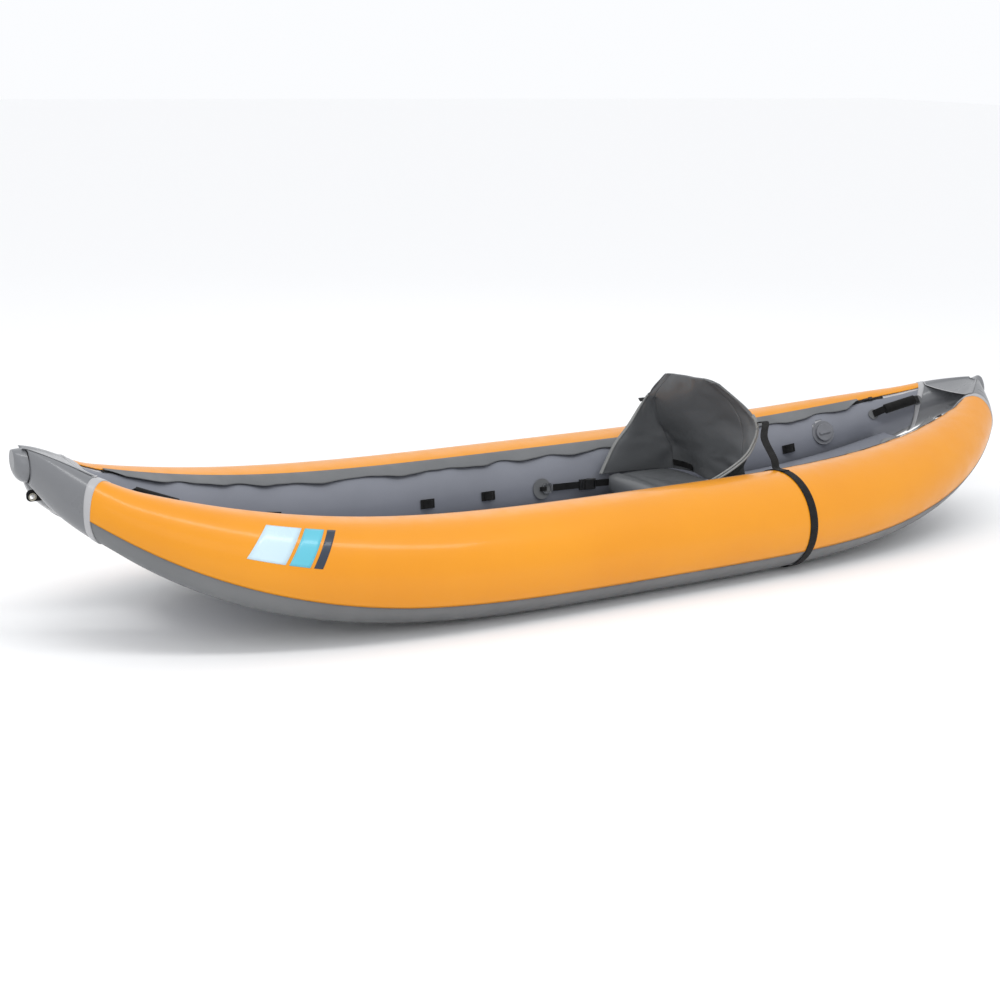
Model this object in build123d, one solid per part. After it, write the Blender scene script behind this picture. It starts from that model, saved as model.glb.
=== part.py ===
from build123d import *
import math
import os

# Inflatable one-person kayak: two side tubes that meet at the bow and the stern, an inflated
# floor between them, and a padded seat held by straps.
# Millimetres, +Z up. -X is the bow, +X the stern, +Y starboard. The origin is on the ground
# under the middle of the hull. Everything on the tubes is drawn on the starboard side and mirrored.

# ---------------------------------------------------------------- driving dimensions
HALF_LENGTH = 1575.0          # bow tip and stern tip
PROFILE_LENGTH = 1575.0       # half length that the tube formulas are scaled to
PROFILE_SHIFT = 10.0          # the fullest section lies this far aft of the middle
TUBE_RADIUS = 135.0           # outside, at the fullest section
TUBE_OFFSET = 335.0           # tube centre from the keel line, at the fullest section
END_OFFSET = 44.0             # the same at the ends, before the cone tips are drawn together
BOW_RISE = 305.0
STERN_RISE = 245.0
TAPER = 0.87                  # part of the radius that is lost at the ends
PINCH_START = 0.86            # where the tips begin to be drawn together
TIP_X = 1545.0                # cones end here and the nose caps begin

SKIN = 3.0                    # outer shell, coated fabric with its seams
CELL_WALL = 2.0               # air cell film
CELL_GAP = 1.5                # between the air cell and the shell
SEAM_GAP = 0.6                # between neighbouring shell panels
BOW_RING_X = -1410.0          # where the bow cones are joined to the panels
STERN_RING_X = 1455.0
LOWER_SEAM = -30.0            # degrees round the tube: 0 outboard, 90 top, 180 inboard
UPPER_SEAM = 118.0
ZIP_EDGE = 126.0
BASE_EDGE = 222.0
DECK_ANGLE = 114.0

FLOOR_HALF_LENGTH = 1250.0
FLOOR_HEIGHT = 90.0
FLOOR_DROP = 0.37             # floor centre below the tube centre, in tube radii
FLOOR_CLEARANCE = 5.0

VALVE_X = 1098.0
VALVE_ANGLE = 162.0
FLOOR_VALVE_X = -1080.0
FLANGE_RADIUS = 38.0
THROAT_RADIUS = 14.5
THROAT_BORE = 11.0

EYE_X = 1522.0                # tie-down eyes under both noses
EYE_RADIUS = 6.0
EYE_DROP = 8.0

SEAT_HALF_WIDTH = 172.0
SEAT_FRONT_X = 225.0
SEAT_HINGE_X = 478.0
SEAT_HINGE_Z = 184.0
SEAT_BACK_HEIGHT = 292.0
SEAT_BACK_DEPTH = 38.0
SEAT_LEAN = 13.0              # degrees: the back leans towards the bow
ANCHOR_X = 35.0               # D-rings of the front seat straps
ANCHOR_ANGLE = 172.0
HANDLE_ANGLE = 156.0
STRAP_X = 480.0               # the rear straps go round the tubes here
WEBBING = 26.0
FRONT_WEBBING = 20.0
WEBBING_THICKNESS = 2.0

os.makedirs("parts", exist_ok=True)


# ---------------------------------------------------------------- the tube's formulas
def tube_values(x):
    """Centre y, centre z, half width and half height of the starboard tube at x."""
    along = (x - PROFILE_SHIFT) / PROFILE_LENGTH
    a = abs(along)
    end_sign = -1 if along < 0 else 1
    tip = abs(end_sign * TIP_X - PROFILE_SHIFT) / PROFILE_LENGTH
    pinch = max(0.0, (a - PINCH_START) / (tip - PINCH_START))
    rise = BOW_RISE if end_sign < 0 else STERN_RISE
    y = END_OFFSET + (TUBE_OFFSET - END_OFFSET) * (1 - a ** 3.5)
    z = TUBE_RADIUS + rise * a ** 3.8
    radius = TUBE_RADIUS * (1 - TAPER * a ** 4.8)
    if end_sign < 0:
        z += 12 * pinch ** 2
        half_height = radius * (1 + 0.65 * pinch ** 2)
    else:
        y -= 20 * a ** 8
        z -= 16 * a ** 8
        half_height = radius * (1 + 0.45 * pinch ** 2)
    half_width = radius * (1 - 0.25 * pinch ** 4)
    y += (half_width + 1 - y) * pinch ** 4
    return y, z, half_width, half_height


def section_plane(x):
    """Plane across the tube at x: local X points outboard and local Y upward."""
    step = 0.5
    y, z, _, _ = tube_values(x)
    y_next, z_next, _, _ = tube_values(x + step)
    a = abs(x) / HALF_LENGTH
    upright = 1 - min(1.0, max(0.0, (a - 0.9) / 0.08))
    tangent = Vector(step, (y_next - y) * upright, (z_next - z) * upright).normalized()
    up = (Vector(0, 0, 1) - tangent * tangent.Z).normalized()
    return Plane(origin=(x, y, z), x_dir=up.cross(tangent), z_dir=tangent)


def surface_point(x, angle, offset=0.0):
    """Point on the tube's outer surface, at an angle round it."""
    _, _, half_width, half_height = tube_values(x)
    turn = math.radians(angle)
    local = Vector((half_width + offset) * math.cos(turn), (half_height + offset) * math.sin(turn), 0)
    return section_plane(x).from_local_coords(local)


def surface_plane(x, angle, offset=0.0):
    """Plane on the tube's surface: local Z points out of the tube and local X runs aft."""
    along = surface_point(x + 1, angle) - surface_point(x - 1, angle)
    around = surface_point(x, angle + 1) - surface_point(x, angle - 1)
    normal = around.cross(along).normalized()
    return Plane(origin=surface_point(x, angle) + normal * offset, x_dir=along, z_dir=normal)


def stations(start, end, count):
    """Places along the boat, closer together towards both ends."""
    middle = (start + end) / 2
    half = (end - start) / 2
    steps = [-1 + 2 * i / (count - 1) for i in range(count)]
    return [middle + half * math.sin(math.pi / 2 * step) for step in steps]


def tube_loft(xs, offset):
    """Solid of the tube between the first and last station, grown by offset."""
    faces = []
    for x in xs:
        _, _, half_width, half_height = tube_values(x)
        faces.append(section_plane(x) * Ellipse(half_width + offset, half_height + offset))
    return loft(faces)


def sector(x, inner, outer, start, end):
    """Part of the tube's wall at x, from one angle to another."""
    _, _, half_width, half_height = tube_values(x)
    arc = end - start
    outside = EllipticalCenterArc((0, 0), half_width + outer, half_height + outer, start, arc_size=arc)
    inside = EllipticalCenterArc((0, 0), half_width + inner, half_height + inner, start, arc_size=arc)
    sides = [Line(outside @ 0, inside @ 0), Line(outside @ 1, inside @ 1)]
    return section_plane(x) * make_face([outside, inside] + sides)


def sector_loft(xs, inner, outer, start, end):
    return loft([sector(x, inner, outer, start, end) for x in xs])


def port(shape):
    return mirror(shape, about=Plane.XZ)


def both(shape):
    return [shape, port(shape)]


def save(shape, name):
    """Writes one sub-part; a list becomes a group of separate solids."""
    if isinstance(shape, list):
        shape = Compound(children=[solid for item in shape for solid in item.solids()])
    export_step(shape, f"parts/{name}.step")


def save_pair(shape, name):
    save(shape, f"{name}_starboard")
    save(port(shape), f"{name}_port")


def strip(points, width_direction, width, thickness):
    """Flat strap along a polyline, which is flattened into the plane across width_direction."""
    across = Vector(*width_direction).normalized()
    first = Vector(*points[0])
    path = [Vector(*point) - across * (Vector(*point) - first).dot(across) for point in points]
    upper, lower = [], []
    for i, point in enumerate(path):
        before = path[max(i - 1, 0)]
        after = path[min(i + 1, len(path) - 1)]
        normal = (after - before).normalized().cross(across).normalized() * (thickness / 2)
        upper.append(point + normal)
        lower.append(point - normal)
    outline = Polyline(upper + lower[::-1], close=True)
    face = make_face(outline).moved(Location(across * (-width / 2)))
    return extrude(face, amount=width, dir=across)


# ---------------------------------------------------------------- side tubes
def air_cell():
    xs = stations(-1500, 1500, 23)
    outer = tube_loft(xs, -SKIN - CELL_GAP)
    inner_xs = stations(-1500 + CELL_WALL, 1500 - CELL_WALL, 23)
    inner = tube_loft(inner_xs, -SKIN - CELL_GAP - CELL_WALL)
    return outer - inner


def shell_panel(start, end):
    half_gap = math.degrees(SEAM_GAP / 2 / TUBE_RADIUS)
    xs = stations(BOW_RING_X, STERN_RING_X, 21)
    return sector_loft(xs, -SKIN, 0, start + half_gap, end - half_gap)


def zipper():
    """Zipper tape and teeth, lying in the slot between the outer and the inner panel."""
    xs = stations(BOW_RING_X + 60, STERN_RING_X - 120, 21)
    return sector_loft(xs, -2.6, -0.8, UPPER_SEAM + 0.6, ZIP_EDGE - 0.6)


def zip_flap():
    """Loose strip that hangs from the upper seam over the zipper."""
    xs = stations(BOW_RING_X + 60, STERN_RING_X - 220, 21)
    flap = sector_loft(xs, 0.6, 2.4, UPPER_SEAM - 3, UPPER_SEAM + 10)
    return flap - strap_slot()


def strap_slot():
    """Room for the rear strap where it crosses a loose edge."""
    return Pos(STRAP_X, TUBE_OFFSET - TUBE_RADIUS, TUBE_RADIUS) * Box(WEBBING + 16, 300, 300)


def cone(ring_x, end_sign):
    near = ring_x + end_sign * SEAM_GAP
    xs = stations(near, end_sign * TIP_X, 9)
    outer = tube_loft(xs, 0)
    inner_xs = stations(near - end_sign * 2, end_sign * (TIP_X - 4), 9)
    return outer - tube_loft(inner_xs, -SKIN)


def seam_tape(ring_x):
    xs = [ring_x - 9, ring_x, ring_x + 9]
    return tube_loft(xs, 1.7) - tube_loft([xs[0] - 1, ring_x, xs[2] + 1], 0.4)


def nose_cap(end_sign):
    """Rounded patch that closes both cone tips together."""
    depth = HALF_LENGTH - TIP_X - SEAM_GAP
    y, z, half_width, half_height = tube_values(end_sign * TIP_X)
    end_top, end_bottom = (476, 442) if end_sign < 0 else (399, 372)
    faces = []
    for part in (0.0, 0.35, 0.7, 0.9, 1.0):
        round_off = 1 - math.sqrt(1 - (0.95 * part) ** 2)
        top = z + half_height + (end_top - z - half_height) * round_off
        bottom = z - half_height + (end_bottom - z + half_height) * round_off
        centre = (end_sign * (TIP_X + SEAM_GAP + part * depth), 0, (top + bottom) / 2)
        plane = Plane(origin=centre, x_dir=(0, 1, 0), z_dir=(1, 0, 0))
        faces.append(plane * Ellipse((y + half_width) * (1 - 0.75 * round_off), (top - bottom) / 2))
    return loft(faces)


def deck(ring_x, end_sign):
    """Fabric that bridges the cleft between two cones, near their tops."""
    faces = []
    for x in stations(ring_x + end_sign * 14, end_sign * (TIP_X - 6), 7):
        edge = surface_point(x, DECK_ANGLE, 1.4)
        plane = Plane(origin=(edge.X, 0, edge.Z), x_dir=(0, 1, 0), z_dir=(1, 0, 0))
        faces.append(plane * Rectangle(2 * edge.Y - 7, WEBBING_THICKNESS))
    return loft(faces)


# ---------------------------------------------------------------- floor
def floor_section(x, shrink):
    y, z, half_width, _ = tube_values(x)
    height = FLOOR_HEIGHT * half_width / TUBE_RADIUS - 2 * shrink
    half = y - half_width - FLOOR_CLEARANCE - shrink
    centre_z = z - FLOOR_DROP * half_width
    plane = Plane(origin=(x, 0, centre_z), x_dir=(0, 1, 0), z_dir=(1, 0, 0))
    return plane * RectangleRounded(2 * half, height, 0.46 * height)


def floor_loft(half_length, shrink):
    return loft([floor_section(x, shrink) for x in stations(-half_length, half_length, 17)])


def floor_sleeve():
    return floor_loft(FLOOR_HALF_LENGTH, 0) - floor_loft(FLOOR_HALF_LENGTH - SKIN, SKIN)


def floor_air_cell():
    outside = SKIN + CELL_GAP
    inside = outside + CELL_WALL
    return floor_loft(FLOOR_HALF_LENGTH - outside, outside) - floor_loft(FLOOR_HALF_LENGTH - inside, inside)


def floor_top(x):
    _, z, half_width, _ = tube_values(x)
    return z - FLOOR_DROP * half_width + FLOOR_HEIGHT * half_width / TUBE_RADIUS / 2


def drain_web():
    """Sheet that ties the floor's edge to the tube, with self-bailing holes."""
    faces = []
    for x in stations(-1180, 1180, 15):
        y, z, half_width, _ = tube_values(x)
        level = z - FLOOR_DROP * half_width
        inner_y = y - half_width - FLOOR_CLEARANCE + 0.4
        outer_y = y - half_width * math.cos(math.asin(FLOOR_DROP)) - 1.2
        plane = Plane(origin=(x, (inner_y + outer_y) / 2, level), x_dir=(0, 1, 0), z_dir=(1, 0, 0))
        faces.append(plane * Rectangle(outer_y - inner_y, WEBBING_THICKNESS))
    web = loft(faces) - strap_slot()
    for i in range(-6, 7):
        x = 170.0 * i
        y, z, half_width, _ = tube_values(x)
        level = z - FLOOR_DROP * half_width
        web -= Pos(x, y - half_width * 0.985 - 1, level) * Cylinder(3, 20)
    return web


# ---------------------------------------------------------------- valves
def valve_body(plane):
    flange = Cylinder(FLANGE_RADIUS, 4, align=(Align.CENTER, Align.CENTER, Align.MIN))
    collar = Cylinder(24, 8, align=(Align.CENTER, Align.CENTER, Align.MIN))
    throat = Pos(0, 0, -30) * Cylinder(THROAT_RADIUS, 34, align=(Align.CENTER, Align.CENTER, Align.MIN))
    bore = Pos(0, 0, -25) * Cylinder(THROAT_BORE, 40, align=(Align.CENTER, Align.CENTER, Align.MIN))
    guide = Pos(0, 0, -31) * Cylinder(3.6, 10, align=(Align.CENTER, Align.CENTER, Align.MIN))
    body = fillet(flange.edges().group_by(Axis.Z)[-1], 1.5) + collar + throat
    return plane * (body - bore - guide)


def valve_button(plane):
    """Push button: a head in the throat and a stem that runs through the guide."""
    head = Pos(0, 0, 0.5) * Cylinder(9, 5, align=(Align.CENTER, Align.CENTER, Align.MIN))
    stem = Pos(0, 0, -34) * Cylinder(3.5, 35, align=(Align.CENTER, Align.CENTER, Align.MIN))
    return plane * (fillet(head.edges().group_by(Axis.Z)[-1], 1) + stem)


def valve_spring(plane):
    """Coil that returns the button, between the guide and the button's head."""
    coil = Helix(pitch=3.4, height=17, radius=6.4)
    wire = (Plane(origin=coil @ 0, z_dir=coil % 0)) * Circle(0.6)
    return plane * (Pos(0, 0, -22.5) * sweep(wire, path=coil, is_frenet=True))


def valve_cap(plane):
    """Quarter-turn dust cap with a grip bar."""
    disc = Pos(0, 0, 8.6) * Cylinder(27, 5, align=(Align.CENTER, Align.CENTER, Align.MIN))
    skirt = Pos(0, 0, 5) * Cylinder(27, 4, align=(Align.CENTER, Align.CENTER, Align.MIN))
    skirt -= Pos(0, 0, 4) * Cylinder(24.6, 6, align=(Align.CENTER, Align.CENTER, Align.MIN))
    bar = Pos(0, 0, 13) * Box(40, 7, 6, align=(Align.CENTER, Align.CENTER, Align.MIN))
    return plane * (fillet(disc.edges().group_by(Axis.Z)[-1], 1.5) + skirt + bar)


def floor_valve_plane():
    along = Vector(2, 0, floor_top(FLOOR_VALVE_X + 1) - floor_top(FLOOR_VALVE_X - 1))
    normal = along.cross(Vector(0, 1, 0)).normalized()
    origin = Vector(FLOOR_VALVE_X, 0, floor_top(FLOOR_VALVE_X)) - normal * 2.6
    return Plane(origin=origin, x_dir=along, z_dir=normal)


def tube_valve_plane():
    return surface_plane(VALVE_X, VALVE_ANGLE, -2.4)


def valve_cut(plane, radius):
    return plane * (Pos(0, 0, -10) * Cylinder(radius, 40, align=(Align.CENTER, Align.CENTER, Align.MIN)))


def throat_cut(plane):
    return plane * (Pos(0, 0, -30) * Cylinder(THROAT_RADIUS + 0.5, 60))


# ---------------------------------------------------------------- fittings on the hull
def eye_plane(end_sign):
    """Under the nose, with local Z across the boat."""
    x = end_sign * EYE_X
    _, z, _, half_height = tube_values(x)
    return Plane(origin=(x, 0, z - half_height - EYE_DROP), x_dir=(1, 0, 0), z_dir=(0, -1, 0))


def tie_eye(end_sign):
    """Webbing tab with a hole for its grommet."""
    tab = extrude(RectangleRounded(44, 28, 11), amount=1.5, both=True)
    return eye_plane(end_sign) * (tab - Pos(end_sign * 8, -3) * Cylinder(7.4, 12))


def grommet(end_sign):
    rims = Pos(0, 0, 2) * Cylinder(9.5, 1) + Pos(0, 0, -2) * Cylinder(9.5, 1)
    ring = Cylinder(7.2, 5) + rims - Cylinder(EYE_RADIUS, 8)
    return eye_plane(end_sign) * (Pos(end_sign * 8, -3) * ring)


def cargo_loops():
    """Sewn webbing loops along the foot of both tubes' inner walls."""
    loops = []
    for x in (-850, -350, -148, 700, 960):
        plane = surface_plane(x, 172, 0.8)
        foot = Box(44, WEBBING, 1.6, align=(Align.CENTER, Align.CENTER, Align.MIN))
        arch = Pos(0, 0, 1.6) * extrude(Plane.XZ * arch_face(), amount=WEBBING / 2 - 2, both=True)
        loops += both(plane * (foot + arch))
    return loops


def arch_face():
    outer = ThreePointArc((-14, 0), (0, 12), (14, 0))
    inner = ThreePointArc((-12, 0), (0, 10), (12, 0))
    return make_face([outer, Line(outer @ 1, inner @ 1), inner, Line(inner @ 0, outer @ 0)])


def anchor_plane():
    return surface_plane(ANCHOR_X, ANCHOR_ANGLE, 0.8)


def seat_anchor_patch():
    return anchor_plane() * Cylinder(30, 1.6, align=(Align.CENTER, Align.CENTER, Align.MIN))


def d_ring():
    """D-ring lying along the wall, in the strap's pull."""
    frame = extrude(RectangleRounded(34, 30, 12), amount=2, both=True)
    frame -= extrude(RectangleRounded(26, 22, 4), amount=3, both=True)
    return anchor_plane() * (Pos(16, 0, 6) * frame)


def d_ring_keeper():
    """Web sewn over the D-ring's straight bar."""
    keeper = Pos(1, 0, 1.8) * Box(18, 12, 9.6, align=(Align.CENTER, Align.CENTER, Align.MIN))
    keeper -= Pos(1, 0, 3.7) * Box(5, 40, 4.6, align=(Align.CENTER, Align.CENTER, Align.MIN))
    return anchor_plane() * keeper


def strap_loop():
    """Rear strap round the whole tube."""
    xs = [STRAP_X - WEBBING / 2, STRAP_X, STRAP_X + WEBBING / 2]
    outer = tube_loft(xs, 2.4)
    return outer - tube_loft([xs[0] - 1, STRAP_X, xs[2] + 1], 0.5)


# ---------------------------------------------------------------- seat
def seat_base():
    level = floor_top(SEAT_HINGE_X + 20) + 0.8
    length = SEAT_HINGE_X - 6 - SEAT_FRONT_X
    outline = RectangleRounded(length, 2 * SEAT_HALF_WIDTH, 45)
    cushion = extrude(Pos(SEAT_FRONT_X + length / 2, 0, level) * outline, amount=SEAT_HINGE_Z - 6 - level)
    return fillet(cushion.edges().group_by(Axis.Z)[-1], 16)


def seat_back():
    """Back cushion in its own plane: local X is width, local Y runs up, local Z is aft."""
    lean = math.radians(SEAT_LEAN)
    aft = (math.cos(lean), 0, math.sin(lean))
    plane = Plane(origin=(SEAT_HINGE_X, 0, SEAT_HINGE_Z), x_dir=(0, 1, 0), z_dir=aft)
    outline = Pos(0, 4 + SEAT_BACK_HEIGHT / 2) * RectangleRounded(2 * SEAT_HALF_WIDTH, SEAT_BACK_HEIGHT, 60)
    cushion = extrude(outline, amount=SEAT_BACK_DEPTH)
    cushion = fillet(cushion.edges().group_by(Axis.Z)[0], 9)
    return plane * cushion


def seat_wing():
    """Side panel between the back's edge and the base's edge."""
    lean = math.radians(SEAT_LEAN)
    back_top = (SEAT_HINGE_X - 205 * math.sin(lean), SEAT_HINGE_Z + 205 * math.cos(lean))
    outline = [
        (SEAT_HINGE_X + 24, SEAT_HINGE_Z + 6),
        (SEAT_FRONT_X + 40, SEAT_HINGE_Z - 8),
        (SEAT_FRONT_X + 60, SEAT_HINGE_Z + 22),
        (SEAT_FRONT_X + 130, SEAT_HINGE_Z + 95),
        back_top,
        (back_top[0] + 30, back_top[1] - 8),
    ]
    profile = Plane(origin=(0, SEAT_HALF_WIDTH + 2, 0), x_dir=(1, 0, 0), z_dir=(0, -1, 0))
    return extrude(profile * make_face(Polyline(outline, close=True)), amount=5, dir=(0, 1, 0))


def rear_strap():
    """Lead strap from the wing's upper edge, out to the top of the tube."""
    top = surface_point(STRAP_X, 100, 5)
    start = (STRAP_X, SEAT_HALF_WIDTH + 9, 352)
    bulge = (STRAP_X, start[1] + 30, 374)
    return strip([start, bulge, (STRAP_X, top.Y - 28, top.Z + 30), top], (1, 0, 0), WEBBING, 2)


def front_strap_plane():
    """Along the front strap, from the D-ring towards the seat, with local Y upward."""
    start = anchor_plane().from_local_coords(Vector(35, 0, 6))
    end = Vector(SEAT_FRONT_X + 46, SEAT_HALF_WIDTH + 2.6, start.Z)
    along = end - start
    return Plane(origin=start, x_dir=along, z_dir=along.cross(Vector(0, 0, 1))), along.length


def strap_between(start, end):
    plane, _ = front_strap_plane()
    middle = Pos((start + end) / 2, 0, 0)
    return plane * (middle * Box(end - start, FRONT_WEBBING, WEBBING_THICKNESS))


def buckle_place():
    _, length = front_strap_plane()
    return length * 0.55


def front_strap():
    """Strap from the D-ring to the buckle's plug."""
    return strap_between(0, buckle_place() - 24.8)


def seat_corner_strap():
    """Strap from the buckle's socket to the seat's front corner."""
    _, length = front_strap_plane()
    return strap_between(buckle_place() + 28.6, length)


def buckle_socket():
    """Side-release socket: an open box whose mouth faces the bow, with windows for the arms."""
    plane, _ = front_strap_plane()
    shell = Pos(11, 0, 0) * Box(34, 32, 10)
    shell = fillet(shell.edges().filter_by(Axis.X), 2.5)
    shell -= Pos(4, 0, 0) * Box(24, 25.5, 5.4)
    shell -= Pos(4, 0, 0) * Box(11, 60, 5.4)
    shell -= Pos(24, 0, 0) * Box(4, 22, 20)
    return plane * (Pos(buckle_place(), 0, 0) * shell)


def buckle_plug():
    """Plug with two spring arms, a guide tongue and a bar for the strap."""
    plane, _ = front_strap_plane()
    bar = Pos(-16, 0, 0) * Box(16, 31, 8) - Pos(-17.5, 0, 0) * Box(5, 23, 20)
    arms = Pos(3, 10.5, 0) * Box(24, 3, 4.4) + Pos(3, -10.5, 0) * Box(24, 3, 4.4)
    tongue = Pos(1, 0, 0) * Box(20, 6, 4.4)
    return plane * (Pos(buckle_place(), 0, 0) * (bar + arms + tongue))


# ---------------------------------------------------------------- carry handles
def handle_path(ring_x, end_sign):
    """Anchors on the inner wall and the grip's ends between them, on the starboard side."""
    inner_x = ring_x - end_sign * 172
    outer_x = ring_x - end_sign * 26
    anchors = [surface_point(x, HANDLE_ANGLE, 6) for x in (inner_x, outer_x)]
    grips = [surface_point(ring_x - end_sign * reach, HANDLE_ANGLE, 40) for reach in (146, 40)]
    return anchors, grips


def handle_webbing(ring_x, end_sign):
    anchors, grips = handle_path(ring_x, end_sign)
    span = anchors[1] - anchors[0]
    across = span.cross(grips[0] - anchors[0])
    return strip([anchors[0], grips[0], grips[1], anchors[1]], across, 22, 2)


def handle_grip(ring_x, end_sign):
    """Foam sleeve over the webbing."""
    anchors, grips = handle_path(ring_x, end_sign)
    across = (anchors[1] - anchors[0]).cross(grips[0] - anchors[0]).normalized()
    start = grips[0] - across * (grips[0] - anchors[0]).dot(across)
    end = grips[1] - across * (grips[1] - anchors[0]).dot(across)
    span = end - start
    plane = Plane(origin=start + span * 0.04, x_dir=across, z_dir=span)
    sleeve = extrude(Ellipse(15, 12.5), amount=span.length * 0.92)
    slot = extrude(Rectangle(23, 3), amount=span.length)
    return plane * (sleeve - slot)


def handle_patches(ring_x, end_sign):
    patches = []
    for reach in (172, 30):
        plane = surface_plane(ring_x - end_sign * reach, HANDLE_ANGLE, 0.8)
        patches.append(plane * Cylinder(16, 2, align=(Align.CENTER, Align.CENTER, Align.MIN)))
    return patches


# ---------------------------------------------------------------- zipper sliders
def zipper_slider():
    plane = surface_plane(STERN_RING_X - 160, (UPPER_SEAM + ZIP_EDGE) / 2, 0)
    slider = Pos(0, 0, 0.3) * Box(14, 11, 4.5, align=(Align.CENTER, Align.CENTER, Align.MIN))
    tab = Pos(-14, 0, 2) * Box(22, 6, 2, align=(Align.CENTER, Align.CENTER, Align.MIN))
    return plane * (fillet(slider.edges().filter_by(Axis.Z), 2) + tab)


def build():
    valve_plane = tube_valve_plane()
    floor_plane = floor_valve_plane()
    inner = shell_panel(ZIP_EDGE, BASE_EDGE) - valve_cut(valve_plane, FLANGE_RADIUS + 1)
    save_pair(air_cell() - throat_cut(valve_plane), "air_cell")
    save_pair(shell_panel(LOWER_SEAM, UPPER_SEAM), "outer_panel")
    save_pair(inner, "inner_panel")
    save_pair(shell_panel(BASE_EDGE, 360 + LOWER_SEAM), "base_panel")
    save_pair(cone(BOW_RING_X, -1), "bow_cone")
    save_pair(cone(STERN_RING_X, 1), "stern_cone")
    save(both(seam_tape(BOW_RING_X)), "bow_seam_tapes")
    save(both(seam_tape(STERN_RING_X)), "stern_seam_tapes")
    save(nose_cap(-1), "bow_nose_cap")
    save(nose_cap(1), "stern_nose_cap")
    save(deck(BOW_RING_X, -1), "bow_deck")
    save(deck(STERN_RING_X, 1), "stern_deck")
    save(both(zipper()), "zippers")
    save_pair(zip_flap(), "zip_flap")
    save(floor_sleeve() - valve_cut(floor_plane, FLANGE_RADIUS + 1), "floor_sleeve")
    save(floor_air_cell() - throat_cut(floor_plane), "floor_air_cell")
    save(both(drain_web()), "drain_webs")
    save([tie_eye(-1), tie_eye(1)], "tie_eye_tabs")
    save([grommet(-1), grommet(1)], "tie_eye_grommets")
    save(cargo_loops(), "cargo_loops")
    save_pair(valve_body(valve_plane), "valve_body")
    save(valve_body(floor_plane), "valve_body_floor")
    save_pair(valve_button(valve_plane), "valve_button")
    save(valve_button(floor_plane), "valve_button_floor")
    save_pair(valve_cap(valve_plane), "valve_cap")
    save(valve_cap(floor_plane), "valve_cap_floor")
    save(both(valve_spring(valve_plane)) + [valve_spring(floor_plane)], "valve_springs")
    save(both(seat_anchor_patch()), "seat_anchor_patches")
    save(both(d_ring()), "seat_anchor_d_rings")
    save(both(d_ring_keeper()), "d_ring_keepers")
    save(both(strap_loop()), "rear_strap_loops")
    save(seat_base(), "seat_base_cushion")
    save(seat_back(), "seat_back_cushion")
    save_pair(seat_wing(), "seat_wing")
    save_pair(rear_strap(), "rear_strap")
    save_pair(front_strap(), "front_strap")
    save(both(seat_corner_strap()), "seat_corner_straps")
    save(both(buckle_socket()), "buckle_sockets")
    save_pair(buckle_plug(), "buckle_plug")
    save(handle_webbing(STERN_RING_X, 1), "stern_handle_webbing")
    save(handle_grip(STERN_RING_X, 1), "stern_handle_grip")
    save(port(handle_webbing(BOW_RING_X, -1)), "bow_handle_webbing")
    save(port(handle_grip(BOW_RING_X, -1)), "bow_handle_grip")
    patches = handle_patches(STERN_RING_X, 1) + [port(item) for item in handle_patches(BOW_RING_X, -1)]
    save(patches, "handle_patches")
    save_pair(zipper_slider(), "zipper_slider")


build()
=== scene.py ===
import math

import bmesh
import bpy
from mathutils import Matrix, Vector, noise


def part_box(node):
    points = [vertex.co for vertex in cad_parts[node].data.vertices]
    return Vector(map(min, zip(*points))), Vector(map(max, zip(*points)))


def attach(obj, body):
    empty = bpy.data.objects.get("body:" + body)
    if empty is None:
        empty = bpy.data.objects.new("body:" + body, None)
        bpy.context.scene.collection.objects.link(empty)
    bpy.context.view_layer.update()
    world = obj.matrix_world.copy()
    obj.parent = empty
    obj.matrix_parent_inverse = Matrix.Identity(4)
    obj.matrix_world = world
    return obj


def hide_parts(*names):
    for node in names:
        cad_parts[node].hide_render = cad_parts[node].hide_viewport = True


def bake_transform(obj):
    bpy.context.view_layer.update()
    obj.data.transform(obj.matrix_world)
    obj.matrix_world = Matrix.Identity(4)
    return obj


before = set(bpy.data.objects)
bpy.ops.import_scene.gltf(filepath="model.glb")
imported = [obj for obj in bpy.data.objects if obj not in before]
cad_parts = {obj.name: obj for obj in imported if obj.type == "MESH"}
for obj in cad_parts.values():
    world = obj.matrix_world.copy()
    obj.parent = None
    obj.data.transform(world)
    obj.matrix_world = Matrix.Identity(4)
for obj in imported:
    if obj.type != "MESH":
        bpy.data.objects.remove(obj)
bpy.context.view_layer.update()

# The hull's driving dimensions, in metres, as in the model. -X is the bow, +Y starboard.
PROFILE = 1.575
SHIFT = 0.010
RADIUS = 0.135
OFFSET = 0.335
END_OFFSET = 0.044
RISE = {-1: 0.305, 1: 0.245}
TAPER = 0.87
PINCH_START = 0.86
TIP_X = 1.545
LOWER_SEAM = -30
UPPER_SEAM = 118
ZIP_EDGE = 126
BASE_EDGE = 222
STRAP_X = 0.480
SIDES = {"starboard": 1, "port": -1}

# Each skin's outer face, measured out from the tube's surface.
YELLOW_FACE = 0.0
WALL_FACE = -0.0018
BASE_FACE = -0.0014

WEBBING_WIDTH = 0.026

# The zip cover's ends along the boat.
COVER_BOW_X = -1.345
COVER_STERN_X = 1.255


# ------------------------------------------------------------------ camera and light
def add_camera():
    camera = bpy.data.objects.new("camera", bpy.data.cameras.new("camera"))
    bpy.context.collection.objects.link(camera)
    place = Vector((-2.84703, -4.07995, 1.43701))
    ahead = (Vector((-0.2359, 0, 0.1981)) - place).normalized()
    right = ahead.cross(Vector((0, 0, 1))).normalized()
    right = Matrix.Rotation(math.radians(-1.26), 3, ahead) @ right
    up = right.cross(ahead)
    turn = Matrix((right, up, -ahead)).transposed()
    camera.matrix_world = Matrix.Translation(place) @ turn.to_4x4()
    camera.data.lens = 66.18
    camera.data.sensor_width = 36
    bpy.context.scene.camera = camera


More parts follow.
